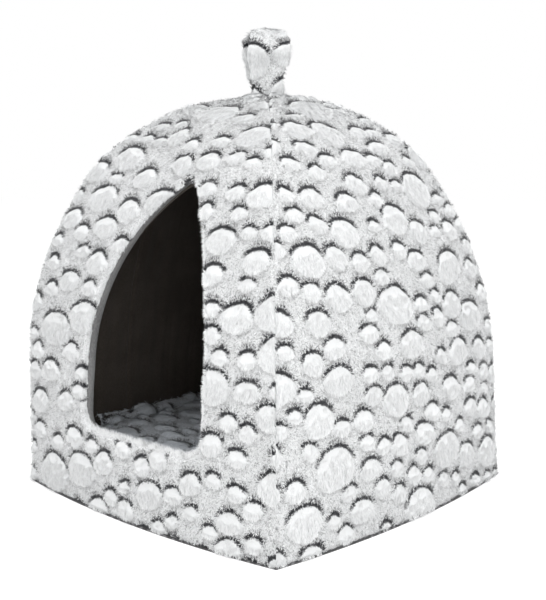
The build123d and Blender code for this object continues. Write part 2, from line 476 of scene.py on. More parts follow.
def pile_hair():
    """One hair's colour comes from the hair itself, with a little variation."""
    material, tree, shader = new_finish("plush_pile", roughness=0.9, specular=0.1, sheen=0.2)
    hair = add_node(tree, "Attribute", attribute_name="hair").outputs["Color"]
    vary = ramp(tree, noise(tree, object_space(tree), 300), 0.3, 0.7, 0.90, 1.0)
    tree.links.new(blended(tree, 1.0, hair, vary, "MULTIPLY"), shader.inputs["Base Color"])
    return material


WALL_TINT = np.array((1.0, 1.0, 1.0))
# The cushion is the same plush as the walls. Its colour is darker and cooler: painted shade for the
# inside of the bed, with a cool tint.
CUSHION_TINT_AND_PAINTED_SHADE = np.array((0.74, 0.77, 0.81))
skin_finish, pile_finish = plush_skin("plush_skin", WALL_TINT), pile_hair()
cushion_finish = plush_skin("cushion_skin", CUSHION_TINT_AND_PAINTED_SHADE)
print("finishes", skin_finish.name, cushion_finish.name, pile_finish.name)

# %% [markdown]
# The plush's relief is laid on the flat cloth: each pebble swells, steeply over its lower rim
# where the pile hangs over and gently towards the upper one, where a groove opens. Between
# the pebbles the ground lies lower. A slow unevenness comes from the foam. At every sewn
# edge the plush tucks in, and at the doorway it rolls in towards the facing. The dips and
# swells are summed waves in random directions, which are the same on both sides of a seam
# because they are measured in space.

# %% The plush's relief
SWELL = 0.0032
GROUND_DROP = -0.0016
GENTLE_SIDE = (-0.0005, 0.0110)
STEEP_SIDE = (-0.0012, 0.0040)
GROOVE = 0.0012
GROOVE_PLACE = 0.0012
GROOVE_WIDTH = 0.0016
FOAM_WAVE = 0.0013
PILE_WAVE = 0.0005
FULL_TURN = 6.283
TUCK = -0.0030
TUCK_REACH = 0.0055
ROLL_IN = -0.0066
ROLL_REACH = 0.0058
FOOT_LIFT = 0.0012


def waves(points, wavelength, seed, count=9):
    """An even unevenness, about -1 to 1, made of waves in random directions."""
    rng = np.random.default_rng(seed)
    directions = rng.normal(size=(count, 3))
    directions /= np.linalg.norm(directions, axis=1)[:, None]
    total = 0
    for direction, phase, stretch in zip(directions, rng.uniform(*PHASES, count),
                                         rng.uniform(0.7, 1.5, count)):
        total = total + np.sin(points @ direction * (FULL_TURN / wavelength * stretch) + phase)
    return total / math.sqrt(count)


def door_gap(s, t, reach=0.03):
    """Distance on the cloth to the doorway's edge, up to a reach."""
    gap = np.full(s.shape, reach)
    close = ((s > door_s.min() - reach) & (s < door_s.max() + reach)
             & (t > door_t.min() - reach) & (t < door_t.max() + reach))
    where = np.flatnonzero(close.ravel())
    for part in np.array_split(where, max(1, len(where) // 4000)):
        ds = s.ravel()[part][:, None] - door_s[::2]
        dt = t.ravel()[part][:, None] - door_t[::2]
        gap.ravel()[part] = np.minimum(reach, np.sqrt(np.min(ds ** 2 + dt ** 2, axis=1)))
    return gap


def swelling(distance, fan, shade):
    """How far the plush stands out for its place in or between the pebbles."""
    upper = smooth(fan[..., 1], -0.2, 0.9)
    gentle, steep = smooth(-distance, *GENTLE_SIDE), smooth(-distance, *STEEP_SIDE)
    dome = (gentle * upper + steep * (1 - upper)) * (0.8 + 0.2 * shade)
    groove = np.exp(-((distance - GROOVE_PLACE) / GROOVE_WIDTH) ** 2)
    groove = groove * smooth(fan[..., 1], 0.2, 0.8)
    return GROUND_DROP + SWELL * dome - GROOVE * groove


def plush_relief(s, t, side):
    """The lift of a panel's plush, with the rim distance, its direction and the shade."""
    distance, fan, shade = pebble_field(s, t, pebbles[side])
    edge = np.minimum(half_width(t) - np.abs(s), t - FOOT_LIFT + 0.001)
    place = on_wall(s, t, side)[0]
    lift = (swelling(distance, fan, shade) + FOAM_WAVE * waves(place, 0.085, 5)
            + PILE_WAVE * waves(place, 0.012, 6))
    lift = TUCK + (lift - TUCK) * smooth(edge, -0.0005, TUCK_REACH)
    if side == "front":
        lift = ROLL_IN + (lift - ROLL_IN) * smooth(door_gap(s, t), -0.0004, ROLL_REACH)
    return lift, distance, fan, shade


# %% A skin from a grid of places on the cloth
def carry_numbers(mesh, distance, upper, shade):
    """Stores what the plush material reads, with the rim's distance in millimetres."""
    for name, values in (("rim", distance * 1000), ("upper", upper), ("shade", shade)):
        mesh.attributes.new(name, "FLOAT", "POINT").data.foreach_set(
            "value", values.ravel().astype(np.float32))


def sheet_from_grid(name, points):
    """A primitive grid whose points are moved to places in space, rows by columns."""
    rows, columns = points.shape[:2]
    bpy.ops.mesh.primitive_grid_add(x_subdivisions=columns - 1, y_subdivisions=rows - 1)
    piece = bpy.context.object
    piece.name = piece.data.name = name
    piece.data.vertices.foreach_set("co", points.reshape(-1).astype(np.float32))
    piece.data.update()
    return piece


def merge_in_edit_mode():
    """Opens the active piece for editing, and merges the points that lie in one place."""
    bpy.ops.object.mode_set(mode="EDIT")
    bpy.ops.mesh.select_all(action="SELECT")
    bpy.ops.mesh.remove_doubles(threshold=1e-6)


def give_thickness(piece, thickness):
    """Closes the pole, then turns the sheet into a closed shell behind its face."""
    merge_in_edit_mode()
    bpy.ops.object.mode_set(mode="OBJECT")
    shell = piece.modifiers.new("shell", "SOLIDIFY")
    shell.thickness = thickness
    shell.offset = -1
    bpy.ops.object.modifier_apply(modifier="shell")
    bpy.ops.object.shade_smooth()


def dress(piece, material):
    """Gives a piece one material."""
    piece.data.materials.clear()
    piece.data.materials.append(material)


def finish_piece(piece, body, slot, material, *replaced):
    """Puts a material on a finished piece and ties it to its body. The slot is not used."""
    dress(piece, material)
    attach(piece, body)
    if replaced:
        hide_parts(*replaced)
    bpy.ops.object.select_all(action="DESELECT")


SKIN_DEPTH = 0.0034


def plush_cover(name, s, t, side, node):
    """A panel's plush skin over a grid of places on its cloth."""
    lift, distance, fan, shade = plush_relief(s, t, side)
    piece = sheet_from_grid(name, on_wall(s, t, side, lift)[0])
    carry_numbers(piece.data, distance, fan[..., 1], shade)
    give_thickness(piece, SKIN_DEPTH)
    finish_piece(piece, "cave", "plush", skin_finish, node)
    print(name, len(piece.data.polygons), "faces")


# %% The right, back and left panels
PANEL_ROWS = 236
PANEL_COLUMNS = 170
SEAM_GAP = 0.0002


def panel_grid(rows, columns, low=FOOT_LIFT, depth_at=np.zeros_like):
    """Places on a whole panel's cloth, from its foot to the peak, inside its two seams. The
    last argument says how deep in the wall the cloth lies at a height."""
    t = np.linspace(low, cloth_height, rows)[:, None] + np.zeros(columns)
    across = np.linspace(-1, 1, columns)
    return across * np.maximum(half_width(t, depth_at(t)) - SEAM_GAP, 0), t


for side in ("right", "back", "left"):
    plush_cover(f"{side}_plush", *panel_grid(PANEL_ROWS, PANEL_COLUMNS), side, f"{side}_cover")

# %% [markdown]
# The front panel is sewn from two halves with a seam below and above the doorway. Each half
# is a grid stretched between two borders: the doorway's edge on one side, and the floor edge
# and corner seam on the other. Its columns run along the borders and its rows cross from one
# to the other, so the relief stays even and the doorway's curve stays clean.

# %% The front panel's two halves
HALF_ALONG = (74, 250)
HALF_ACROSS = 52


def border(points_s, points_t, count):
    """Places at even steps along a border on the cloth."""
    return evenly(np.stack([points_s, points_t], -1), count)


def front_half(sign, edge, low=FOOT_LIFT, depth=0.0, along=HALF_ALONG, across=HALF_ACROSS):
    """Places on the half with that sign of s, rows from the doorway's edge outward."""
    order = slice(None) if sign < 0 else slice(None, None, -1)
    s, t = edge[0][order], edge[1][order]
    top = np.argmax((s * sign < 0) & (t > DOOR_SPRING))
    s, t = np.r_[s[:top], 0.0], np.r_[t[:top], t[top]]
    corner = int(np.argmin(np.hypot(s - sign * 1.0, t + 0.9)))
    seam_t = np.linspace(low, cloth_height, 600)
    seam_s = sign * np.maximum(half_width(seam_t, depth) - SEAM_GAP, 0)
    inner = np.vstack([border(s[:corner + 1], t[:corner + 1], along[0])[:-1],
                       border(s[corner:], t[corner:], along[1])])
    outer = np.vstack([np.stack([np.linspace(0, seam_s[0], along[0]),
                                 np.full(along[0], low)], -1)[:-1],
                       border(seam_s, seam_t, along[1])])
    share = np.linspace(0, 1, across)[:, None, None]
    grid = inner * (1 - share) + outer * share
    if sign > 0:
        grid = grid[:, ::-1]
    return grid[..., 0], grid[..., 1]


for half, sign in (("left", -1), ("right", 1)):
    plush_cover(f"front_plush_{half}", *front_half(sign, (door_s, door_t)), "front",
                f"front_cover_{half}")

# %% [markdown]
# The pile is what makes plush look soft. Its hairs are modelled as tufts: small flat blades of
# two triangles each, rooted in the skin, bent once and combed downward. A real hair system
# would not leave this tool as a mesh, and a separate object for every tuft would be far too
# heavy, so all the tufts of one panel are one mesh, written in code. Their normals are those
# of the skin below them, leaned a little the way they are combed, which lets thousands of
# thin blades shade like one soft surface.

# %% Tufts of pile
FLOOR_CLEAR = 0.0004
NORMAL_LEAN = 0.40


def unit(vectors):
    """Vectors of length one."""
    return vectors / np.maximum(np.linalg.norm(vectors, axis=-1, keepdims=True), 1e-12)


def tuft_mesh(name, root, normal, comb, length, width, rise, colour, tip_tone):
    """One mesh of many tufts. Rise is each tuft's angle from the surface, and tip_tone
    multiplies its colour towards the tip."""
    count = len(root)
    side = unit(np.cross(comb, normal)) * (width / 2)[:, None]
    low = comb * np.cos(rise)[:, None] + normal * np.sin(rise)[:, None]
    bend = rise * 0.35
    high = comb * np.cos(bend)[:, None] + normal * np.sin(bend)[:, None]
    middle = root + low * (length * 0.45)[:, None]
    tip = middle + high * (length * 0.55)[:, None]
    corners = np.stack([root, middle + side, tip, middle - side], 1).reshape(-1, 3)
    corners[:, 2] = np.maximum(corners[:, 2], FLOOR_CLEAR)
    first = np.arange(count)[:, None] * 4
    faces = np.stack([first + [0, 1, 3], first + [1, 2, 3]], 1).reshape(-1)
    mesh = bpy.data.meshes.new(name)
    mesh.vertices.add(len(corners))
    mesh.vertices.foreach_set("co", corners.reshape(-1).astype(np.float32))
    mesh.loops.add(len(faces))
    mesh.loops.foreach_set("vertex_index", faces.astype(np.int32))
    mesh.polygons.add(count * 2)
    mesh.polygons.foreach_set("loop_start", np.arange(0, count * 6, 3, dtype=np.int32))
    mesh.update(calc_edges=True)
    fade = np.stack([np.full(count, 0.86), np.full(count, 0.97), tip_tone,
                     np.full(count, 0.97)], 1)
    paint = np.ones((count * 4, 4), np.float32)
    paint[:, :3] = np.clip(colour[:, None, :] * fade[..., None], 0, 1).reshape(-1, 3)
    hair = mesh.color_attributes.new("hair", "FLOAT_COLOR", "POINT")
    hair.data.foreach_set("color", paint.reshape(-1))
    cells = math.ceil(math.sqrt(count))
    cell = np.stack([np.arange(count) % cells, np.arange(count) // cells], -1)[:, None, :]
    kite = np.array([[0.5, 0.1], [0.9, 0.5], [0.5, 0.9], [0.1, 0.5]])
    spots = ((cell + kite) / cells).reshape(-1, 2)
    bake = mesh.uv_layers.new(name="OFBake")
    bake.data.foreach_set("uv", spots[faces].reshape(-1).astype(np.float32))
    mesh.polygons.foreach_set("use_smooth", np.ones(count * 2, bool))
    soft = unit(normal + NORMAL_LEAN * comb)
    mesh.normals_split_custom_set_from_vertices(np.repeat(soft, 4, axis=0).tolist())
    piece = bpy.data.objects.new(name, mesh)
    bpy.context.scene.collection.objects.link(piece)
    return piece


# %% The pile's lengths, ways and colours
ARC_THIN, ARC_THICK = 0.0008, 0.0046
ARC_FILL = 1.35
HAIR_WHITE = np.array((0.935, 0.945, 0.948))
HAIR_GROUND = np.array((0.920, 0.930, 0.934))
HAIR_GREY = np.array((0.40, 0.405, 0.41))
HAIR_DARK = np.array((0.030, 0.031, 0.035))
PILE_DENSITY = 0.62e6
PILE_LENGTH = 0.0062
PILE_WIDTH = 0.00062
ROOT_SINK = 0.0004
GREY_SHARE = 0.15
COMBED, TANGLED, FANNED, HANGING = 0.32, 1.15, 0.45, 0.65
RIM_TRIM = 0.58
SILL_LONGER = 1.35
# Strengths of the painted shade on a pebble's upper slope, the painted light on its lower slope and
# the painted shadow below its lower rim.
UPPER_SHADE, LOWER_LIGHT, UNDER_SHADE = 0.10, 0.04, 0.34
GROUND, PEBBLE, OVER, DARK = range(4)
# For each of the four kinds: its least rise in radians, what chance adds, its part of the length.
HAIR_KINDS = np.array(((0.38, 0.55, 0.66), (0.32, 0.22, 1.00), (0.10, 0.40, 0.70),
                       (0.45, 0.50, 0.72)))


def dark_arc(distance, fan, shade, luck):
    """How much of the pile shows dark roots: an arc along each upper rim, thickest on top."""
    reach = ARC_THIN + (ARC_THICK - ARC_THIN) * smooth(fan[:, 1], 0.2, 0.95)
    return (smooth(distance, -0.0022, -0.0010) * (1 - smooth(distance - reach, -0.0006, 0.0006))
            * smooth(fan[:, 1] + 0.2 * (luck - 0.5), 0.05, 0.40) * (0.55 + 0.45 * shade))


def hair_colours(distance, fan, shade, on_pebble, grey, dark):
    """White hair on the pebbles, with painted shade on their upper slopes and painted light on
    their lower slopes. Greyer hair between them, with a painted shadow below a pebble's lower rim."""
    # Painted shade on a pebble's upper slope and painted light on its lower slope, times the
    # pebble's own tone.
    slope = smooth(distance, -0.0095, -0.0010) * fan[:, 1]
    tone_and_painted_light = (0.955 + 0.045 * shade) * (1 - UPPER_SHADE * np.maximum(slope, 0)
                                     - LOWER_LIGHT * np.minimum(slope, 0))
    # A painted shadow on the ground hair just below a pebble's lower rim, where the pebble's pile
    # hangs over.
    under = smooth(-fan[:, 1], -0.1, 0.6) * (1 - smooth(distance, 0.0010, 0.0032))
    colour = np.where(on_pebble[:, None], HAIR_WHITE * tone_and_painted_light[:, None],
                      HAIR_GROUND * (1 - UNDER_SHADE * under)[:, None])
    colour = np.where(grey[:, None], HAIR_GREY, colour)
    return np.where(dark[:, None], HAIR_DARK, colour)


def pile_on(name, body, root, normal, across, field, rng, tint_and_painted_shade=WALL_TINT, edge_turn=None,
            trim=1.0):
    """Tufts for roots on plush: combed down on pebbles, tangled on the ground, and dark and
    fanned out on the upper rims. Across is the cloth's sideways direction at each root, and
    field is what pebble_field says there. Where edge_turn is a number, the tuft hangs over
    the doorway's edge in that direction, and trim shortens it."""
    distance, fan, shade = field
    count = len(root)
    luck = rng.random((7, count))
    on_pebble = distance < -0.0006
    dark = luck[1] < dark_arc(distance, fan, shade, luck[0]) * ARC_FILL
    grey = ~on_pebble & ~dark & (luck[2] < GREY_SHARE)
    down = -math.pi / 2 + rng.normal(0, COMBED, count)
    loose = -math.pi / 2 + rng.normal(0, TANGLED, count)
    outward = np.arctan2(fan[:, 1], fan[:, 0]) + rng.normal(0, FANNED, count)
    turn = np.where(dark, outward, np.where(on_pebble, down, loose))
    over, on_sill = np.zeros(count, bool), np.zeros(count, bool)
    if edge_turn is not None:
        over = ~np.isnan(edge_turn)
        on_sill = over & (np.sin(edge_turn) > 0.7)
        dark, grey = dark & ~on_sill, grey & ~over
        over &= ~dark
        turn = np.where(over, edge_turn + rng.normal(0, HANGING, count), turn)
    up_cloth = unit(np.cross(normal, across))
    comb = across * np.cos(turn)[:, None] + up_cloth * np.sin(turn)[:, None]
    kind = np.where(dark, DARK, np.where(over, OVER, np.where(on_pebble, PEBBLE, GROUND)))
    least_rise, more_rise, part = HAIR_KINDS[kind].T
    lower_rim = smooth(distance, -0.0062, -0.0008) * smooth(-fan[:, 1], -0.2, 0.6)
    part = part - RIM_TRIM * lower_rim * (kind == PEBBLE)
    length = PILE_LENGTH * trim * np.where(on_sill, SILL_LONGER, 1.0) * (0.75 + 0.5 * luck[4]) * part
    width = PILE_WIDTH * (0.7 + 0.6 * luck[5]) * np.where(dark | over, 0.8, 1.0)
    colour = hair_colours(distance, fan, shade, on_pebble, grey, dark)
    colour = colour * (0.94 + 0.09 * luck[6])[:, None] * tint_and_painted_shade
    piece = tuft_mesh(name, root, normal, comb, length, width, least_rise + more_rise * luck[3],
                      colour, np.where(dark, 1.1, 1.04))
    finish_piece(piece, body, "plush", pile_finish)
    print(name, count, "tufts,", int(dark.sum()), "dark")


# %% The pile of the four panels
def inside_door(s, t):
    """True for places on the cloth that fall inside the doorway's outline."""
    inside = np.zeros(s.shape, bool)
    close = np.flatnonzero((s > door_s.min()) & (s < door_s.max()) & (t > door_t.min())
                           & (t < door_t.max()))
    s0, t0, s1, t1 = door_s[:-1], door_t[:-1], door_s[1:], door_t[1:]
    for part in np.array_split(close, max(1, len(close) // 4000)):
        ps, pt = s[part][:, None], t[part][:, None]
        spans = (t0 > pt) != (t1 > pt)
        with np.errstate(divide="ignore", invalid="ignore"):
            crosses = spans & (ps < s0 + (pt - t0) / (t1 - t0) * (s1 - s0))
        inside[part] = crosses.sum(1) % 2 == 1
    return inside


EDGE_REACH = 0.0042
EDGE_TUFTS = 5000
PILE_SEED_STEP = 100


def over_door_edge(s, t):
    """For roots close to the doorway, the direction on the cloth towards it, or no number."""
    turn = np.full(s.shape, np.nan)
    near = np.flatnonzero(door_gap(s, t) < EDGE_REACH)
    ds, dt = door_s - s[near][:, None], door_t - t[near][:, None]
    closest = np.argmin(ds ** 2 + dt ** 2, axis=1)
    rows = np.arange(len(near))
    turn[near] = np.arctan2(dt[rows, closest], ds[rows, closest])
    return turn


def pile_of_wall(side, seed):
    """Scatters roots evenly over one panel's cloth, with more along the doorway's edge, and
    grows its pile."""
    rng = np.random.default_rng(seed)
    count = int(2 * foot * cloth_height * PILE_DENSITY)
    s = rng.uniform(-foot, foot, count)
    t = rng.uniform(FOOT_LIFT, cloth_height, count)
    keep = np.abs(s) < half_width(t)
    if side == "front":
        keep &= ~inside_door(s, t)
    s, t = s[keep], t[keep]
    edge_turn = None
    if side == "front":
        pick = rng.integers(0, len(door_s), EDGE_TUFTS)
        back = rng.uniform(0.0002, EDGE_REACH, EDGE_TUFTS)
        s = np.r_[s, door_s[pick] + door_outward[pick, 0] * back]
        t = np.r_[t, door_t[pick] + door_outward[pick, 1] * back]
        edge_turn = over_door_edge(s, t)
    lift, *field = plush_relief(s, t, side)
    root, normal = on_wall(s, t, side, lift - ROOT_SINK)
    swing = s / (outline(t)[0] - bow_x)
    across = turned(np.stack([-np.sin(swing), np.cos(swing), np.zeros(len(s))], -1), TURNS[side])
    pile_on(f"{side}_pile", "cave", root, normal, across, field, rng, edge_turn=edge_turn)


for side, seed in SEEDS.items():
    pile_of_wall(side, seed + PILE_SEED_STEP)

# %% [markdown]
# Inside, the walls are lined with thin dark cloth. It hangs a little loose from the foam, so
# it has slow upright folds, and one sharper crease that shows through the doorway. The cloth
# is the same panel drawn again at a depth, folded inward by a sum of waves.

# %% The lining
LINING_DEPTH = 0.0148
SHOULDER_SLACK = 0.0032
LINING_THICKNESS = 0.0008
FOLD = 0.0012
SMALL_FOLD = 0.0005
FOLD_STRETCH = 0.16
CREASE_PLACE = 0.047
CREASE_WANDER = 0.006
CREASE_WIDTH = 0.0018
CREASE_DEPTH = 0.0040
CREASE_SIDE = 0.030
CREASE_RISE = 0.0012
LINING_FOOT = 0.0162
LINING_SETBACK = 0.0035
DOOR_PINNED = (0.006, 0.030)


def lining_depth(t):
    """How deep the lining lies: close to the straight foam, slacker over the bent foam."""
    return LINING_DEPTH + SHOULDER_SLACK * smooth(t, line_length - 0.03, line_length + 0.02)


def lining_folds(s, t, side):
    """Folds of the cloth towards the room, pinned along its seams."""
    points = np.stack([s, t * FOLD_STRETCH, np.full(s.shape, TURNS[side])], -1)
    folds = FOLD * (0.5 + 0.5 * waves(points, 0.085, 71)) + SMALL_FOLD * waves(points, 0.02, 72)
    if side == "left":
        away = s - CREASE_PLACE - CREASE_WANDER * np.sin(t * 9.0)
        folds = folds + CREASE_RISE * np.exp(-(away / CREASE_SIDE) ** 2)
        folds = folds - CREASE_DEPTH * np.exp(-(away / CREASE_WIDTH) ** 2)
    gap = half_width(t, lining_depth(t)) - np.abs(s)
    pinned = smooth(gap, 0.0, 0.02) * smooth(t, 0.0, 0.05)
    if side == "front":
        pinned = pinned * smooth(door_gap(s, t), *DOOR_PINNED)
    return -np.maximum(folds, 0) * pinned


def brushed_cloth(name, colour, dark_colour, scale=1400.0):
    """Matt cloth with short fibres and slow patches of wear."""
    material, tree, shader = new_finish(name, roughness=0.95, specular=0.08, sheen=0.12)
    place = object_space(tree)
    fibres = noise(tree, stretched(tree, place, (1.0, 1.0, 0.35)), scale, 2.0, 0.6)
    patches = noise(tree, place, 22.0, 3.0)
    mixed = sums(tree, "ADD", sums(tree, "MULTIPLY", fibres, 0.6),
                 sums(tree, "MULTIPLY", patches, 0.4))
    colours = blended(tree, ramp(tree, mixed, 0.38, 0.62), dark_colour, colour)
    tree.links.new(colours, shader.inputs["Base Color"])
    bumped(tree, shader, fibres, 0.0004)
    return material


lining_finish = brushed_cloth("lining_cloth", (0.084, 0.072, 0.062), (0.056, 0.047, 0.039))


def lining_sheet(name, s, t, side, node):
    """One panel of lining over a grid of places."""
    depth = lining_depth(t)
    lift = lining_folds(s, t, side)
    if side == "front":
        lift = lift + 0.5 * (depth - LINING_DEPTH) * (1 - smooth(door_gap(s, t), *DOOR_PINNED))
    piece = sheet_from_grid(name, on_wall(s, t, side, lift, depth)[0])
    give_thickness(piece, LINING_THICKNESS)
    finish_piece(piece, "cave", "lining_cloth", lining_finish, node)


LINING_CELLS = {"right": (110, 90), "back": (110, 90), "left": (80, 300)}
FRONT_LINING_ALONG = (40, 130)
FRONT_LINING_ACROSS = 24
for side, cells in LINING_CELLS.items():
    lining_sheet(f"{side}_wall_lining", *panel_grid(*cells, LINING_FOOT, lining_depth), side,
                 f"{side}_lining")

lining_edge = door_border(LINING_SETBACK)
front_parts = [front_half(sign, lining_edge, LINING_FOOT, LINING_DEPTH + SHOULDER_SLACK,
                          FRONT_LINING_ALONG, FRONT_LINING_ACROSS) for sign in (-1, 1)]
front_s, front_t = (np.concatenate(parts, 1) for parts in zip(*front_parts))
lining_sheet("front_wall_lining", front_s, front_t, "front", "front_lining")
print("lining from", LINING_FOOT, "up")

# %% [markdown]
# The doorway's edge is bound with a strip of grey cloth as deep as the wall. It is padded a
# little, so it rolls into the opening. The strip is a closed ring of the doorway's outline,
# carried from the front of the wall to the back in steps, and slightly puckered by its seam.

# %% The facing of the doorway
FACING_FRONT = 0.0084
FACING_PAST = 0.0014
FACING_GROWTH = 0.0004
FACING_ROLL = 0.0012
FACING_CLOTH = 0.0011
FACING_STEPS = 15
PUCKERS = ((0.00025, 61, 0.0), (0.0002, 23, 1.0))

places = np.linspace(0, math.tau, len(door_chain))
pucker = sum(rise * np.sin(places * turns + phase) for rise, turns, phase in PUCKERS)
facing_back = 0.5 * (lining_depth(door_t) + LINING_DEPTH) + FACING_PAST
rings = []
for share in np.linspace(1, 0, FACING_STEPS):
    depth = FACING_FRONT + (facing_back - FACING_FRONT) * share
    growth = FACING_GROWTH + (pucker - FACING_ROLL) * math.sin(math.pi * share)
    rings.append(on_wall(*door_border(growth, depth), "front", 0.0, depth)[0])
facing = sheet_from_grid("doorway_binding", np.array(rings))
give_thickness(facing, FACING_CLOTH)
facing_finish = brushed_cloth("facing_cloth", (0.235, 0.235, 0.235), (0.145, 0.145, 0.146), 1100.0)
finish_piece(facing, "cave", "facing_cloth", facing_finish, "doorway_facing")
print("facing", len(facing.data.polygons), "faces")

# %% [markdown]
# The loose cushion is a flat plush bag of wadding. It is blown up as cloth: a rounded slab is
# remeshed into even cells and puffed by a little pressure with gravity off, and no point may
# move further than a cap. Only then come the finer cells, the pebbles and the pile.

# %% The cushion's form
CUSHION_HALF = 0.158
CUSHION_LOW = 0.0168
CUSHION_START = (0.0200, 0.0500)
CUSHION_CORNER = 0.045
CUSHION_EDGE = 0.012
CUSHION_VOXEL = 0.0055
CUSHION_CAP = 0.014
CUSHION_TOP = 0.0660
PUFF_FRAMES = 20
PUFF_PRESSURE = 4.0


def select_edges(mesh, test):
    """Selects the edges whose two ends pass a test."""
    for vertex in mesh.vertices:
        vertex.select = False
    for face in mesh.polygons:
        face.select = False
    for edge in mesh.edges:
        ends = [mesh.vertices[i].co for i in edge.vertices]
        edge.select = test(*ends)


def rounded_slab(name, half, low, high, corner, edge):
    """A square slab with round corners and edges, modelled as by hand."""
    bpy.ops.mesh.primitive_cube_add(size=2 * half, location=(0, 0, half + low))
    piece = bpy.context.object
    piece.name = piece.data.name = name
    bpy.ops.object.mode_set(mode="EDIT")
    bpy.ops.mesh.select_all(action="SELECT")
    bpy.ops.transform.resize(value=(1, 1, (high - low) / (2 * half)),
                             center_override=(0, 0, low))
    bpy.ops.object.mode_set(mode="OBJECT")
    bpy.ops.object.transform_apply(location=True, rotation=False, scale=False)
    select_edges(piece.data, lambda a, b: abs(a.z - b.z) > 0.001)
    bpy.ops.object.mode_set(mode="EDIT")
    bpy.ops.mesh.select_mode(type="EDGE")
    bpy.ops.mesh.bevel(offset=corner, segments=8)
    bpy.ops.object.mode_set(mode="OBJECT")
    select_edges(piece.data, lambda a, b: a.z > high - 1e-4 and b.z > high - 1e-4)
    bpy.ops.object.mode_set(mode="EDIT")
    bpy.ops.mesh.bevel(offset=edge, segments=4)
    bpy.ops.object.mode_set(mode="OBJECT")
    return piece


def three_each(rows, name):
    """What every row holds under a name, as three columns."""
    values = np.empty(len(rows) * 3, np.float32)
    rows.foreach_get(name, values)
    return values.reshape(-1, 3).astype(float)


def coordinates(mesh):
    """A mesh's points as an array."""
    return three_each(mesh.vertices, "co")


def point_normals(mesh):
    """The outward direction at each of a mesh's points."""
    return three_each(mesh.vertex_normals, "vector")


def move_points(mesh, points):
    """Puts a mesh's points at new places."""
    mesh.vertices.foreach_set("co", points.reshape(-1).astype(np.float32))
    mesh.update()


def puff(piece, pressure, cap, frames):
    """Blows a closed piece up as cloth, and holds every point within the cap."""
    start = coordinates(piece.data)
    cloth = piece.modifiers.new("puff", "CLOTH")
    cloth.settings.quality = 6
    cloth.settings.mass = 0.25
    cloth.settings.use_pressure = True
    cloth.settings.uniform_pressure_force = pressure
    cloth.settings.effector_weights.gravity = 0
    for frame_number in range(1, frames + 1):
        bpy.context.scene.frame_set(frame_number)
    bpy.ops.object.modifier_apply(modifier="puff")
    moved = coordinates(piece.data) - start
    far = np.linalg.norm(moved, axis=1, keepdims=True)
    move_points(piece.data, start + moved * np.minimum(1, cap / np.maximum(far, 1e-9)))
    print(piece.name, "moved at most", round(float(far.max()), 4))


cushion = rounded_slab("cushion_plush", CUSHION_HALF, *CUSHION_START, CUSHION_CORNER,
                       CUSHION_EDGE)
cushion.data.remesh_voxel_size = CUSHION_VOXEL
bpy.ops.object.voxel_remesh()
puff(cushion, PUFF_PRESSURE, CUSHION_CAP, PUFF_FRAMES)
fine = cushion.modifiers.new("finer", "SUBSURF")
fine.levels = fine.render_levels = 1
bpy.ops.object.modifier_apply(modifier="finer")
print("cushion", len(cushion.data.vertices), "points")

# %% The cushion's pebbles and pile
CUSHION_SEED = 53
CUSHION_REACH = 0.19
CUSHION_DENSITY = 0.50e6
CUSHION_SIZES = ((0.0165, 0.0200, 24), (0.0120, 0.0155, 180), (0.0080, 0.0115, 2700))
CUSHION_WAVE = 0.0008
SIDE_TRIM = 0.45
UPRIGHT = np.array((0.0, 0.0, 1.0))
cushion_pebbles = throw_pebbles(CUSHION_SEED, CUSHION_REACH, -CUSHION_REACH, CUSHION_REACH,
                                CUSHION_SIZES)


def on_top(normals):
    """1 on the cushion's top and 0 on its sides."""
    return smooth(normals[:, 2], 0.15, 0.6)


def cushion_relief(points, normals):
    """Pebbles over the top, fading out down the sides."""
    distance, fan, shade = pebble_field(points[:, 0], points[:, 1], cushion_pebbles)
    lift = swelling(distance, fan, shade) * on_top(normals) + CUSHION_WAVE * waves(points, 0.05, 8)
    return lift * smooth(normals[:, 2], -0.6, -0.1), distance, fan, shade


points = coordinates(cushion.data)
points[:, 2] = np.clip(points[:, 2], CUSHION_LOW, CUSHION_TOP)
move_points(cushion.data, points)
normals = point_normals(cushion.data)
lift, distance, fan, shade = cushion_relief(points, normals)
move_points(cushion.data, points + normals * lift[:, None])
carry_numbers(cushion.data, distance, fan[:, 1], shade)
bpy.context.view_layer.objects.active = cushion
cushion.select_set(True)
bpy.ops.object.shade_smooth()
finish_piece(cushion, "cushion", "plush", cushion_finish, "cushion_top", "cushion_filling")


def scatter(mesh, density, rng, test):
    """Even random places on a mesh that pass a test, with the direction outward at each."""
    mesh.calc_loop_triangles()
    corners = np.empty(len(mesh.loop_triangles) * 3, np.int32)
    mesh.loop_triangles.foreach_get("vertices", corners)
    corners = corners.reshape(-1, 3)
    place, outward = coordinates(mesh), point_normals(mesh)
    a, b, c = (place[corners[:, k]] for k in range(3))
    area = np.linalg.norm(np.cross(b - a, c - a), axis=1) / 2
    count = int(area.sum() * density)
    chosen = np.sort(rng.choice(len(area), count, p=area / area.sum()))
    one, two = rng.random((2, count, 1))
    fold = one + two > 1
    one, two = np.where(fold, 1 - one, one), np.where(fold, 1 - two, two)
    three = 1 - one - two
    picked = corners[chosen]
    root = place[picked[:, 0]] * one + place[picked[:, 1]] * two + place[picked[:, 2]] * three
    normal = unit(outward[picked[:, 0]] * one + outward[picked[:, 1]] * two
                  + outward[picked[:, 2]] * three)
    kept = test(root, normal)
    return root[kept], normal[kept]


